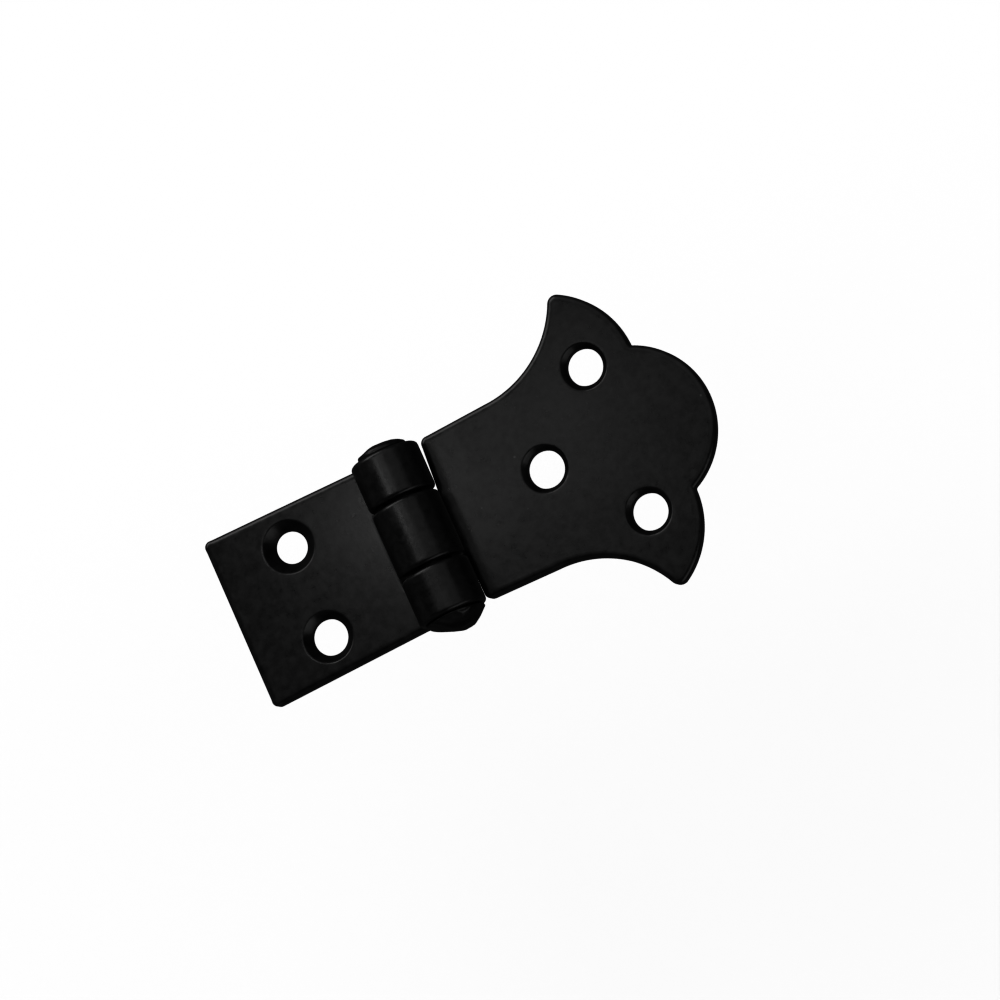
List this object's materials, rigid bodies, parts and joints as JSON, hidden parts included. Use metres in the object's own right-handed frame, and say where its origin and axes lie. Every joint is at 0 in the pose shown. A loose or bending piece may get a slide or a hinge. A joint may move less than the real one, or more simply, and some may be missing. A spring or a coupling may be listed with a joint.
{
  "type": "t hinge",
  "caption": "Small surface-mounted T hinge: a short rectangular leaf and a flared, round-lobed tail leaf on a headed pin, with countersunk screw holes.",
  "frame": {"origin": "on the back plane, under the middle of the hinge pin", "axes": "+X along the tail leaf away from the pin, +Y along the pin towards its peened head, +Z out of the front face, where the rolled barrel stands"},
  "size_m": [0.0635, 0.0378, 0.0085],
  "materials": {
    "leaf_coating": "satin black powder coat",
    "pin_coating": "satin black powder coat over a hammered rivet head"
  },
  "bodies": {
    "fixed_leaf": {"short_leaf": "leaf_coating", "hinge_pin": "pin_coating"},
    "swing_leaf": {"tail_leaf": "leaf_coating"}
  },
  "joints": [
    {"name": "leaf_swing", "type": "hinge", "parent": "fixed_leaf", "child": "swing_leaf", "pos_m": [0, 0, 0.00425], "axis": [0, -1, 0], "range_deg": [-70, 180]}
  ]
}
